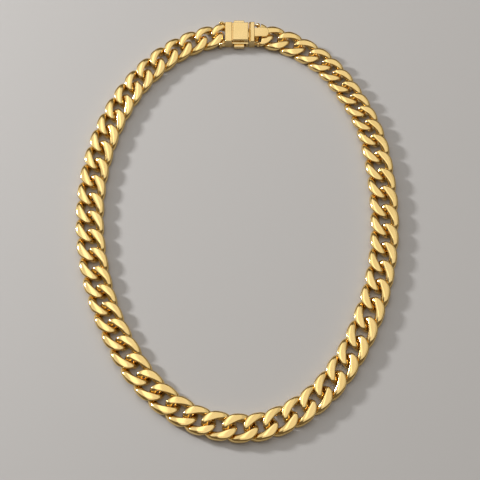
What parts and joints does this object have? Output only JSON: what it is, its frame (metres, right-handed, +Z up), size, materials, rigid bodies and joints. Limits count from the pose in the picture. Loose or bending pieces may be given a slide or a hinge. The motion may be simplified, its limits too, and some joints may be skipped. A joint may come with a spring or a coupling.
{
  "type": "curb chain necklace",
  "caption": "Closed loop of flat polished yellow metal curb links with a box clasp and press tabs, lying flat.",
  "frame": {"origin": "middle of the loop's footprint, on the surface it lies on", "axes": "+Z up off the surface; +Y from the front of the loop to the clasp; +X to the right as seen with the clasp at the far side"},
  "size_m": [0.1424, 0.2028, 0.0055],
  "materials": {
    "gold": "polished"
  },
  "bodies": {
    "necklace": {"chain_links_01_05": "gold", "chain_links_06_10": "gold", "chain_links_11_15": "gold", "chain_links_16_20": "gold", "chain_links_21_25": "gold", "chain_links_26_29": "gold", "chain_links_30_33": "gold", "chain_links_34_38": "gold", "chain_links_39_43": "gold", "chain_links_44_48": "gold", "chain_links_49_53": "gold", "chain_links_54_57": "gold", "clasp_box": "gold", "clasp_tongue": "gold"},
    "front_tab": {"front_press_tab": "gold"},
    "back_tab": {"back_press_tab": "gold"}
  },
  "joints": [
    {"name": "front_tab_press", "type": "slide", "parent": "necklace", "child": "front_tab", "axis": [0, 1, 0], "range_m": [0, 0.0008], "stiffness_N_per_m": 400, "springref_m": -0.0003},
    {"name": "back_tab_press", "type": "slide", "parent": "necklace", "child": "back_tab", "axis": [0, -1, 0], "range_m": [0, 0.0008], "stiffness_N_per_m": 400, "springref_m": -0.0003}
  ]
}
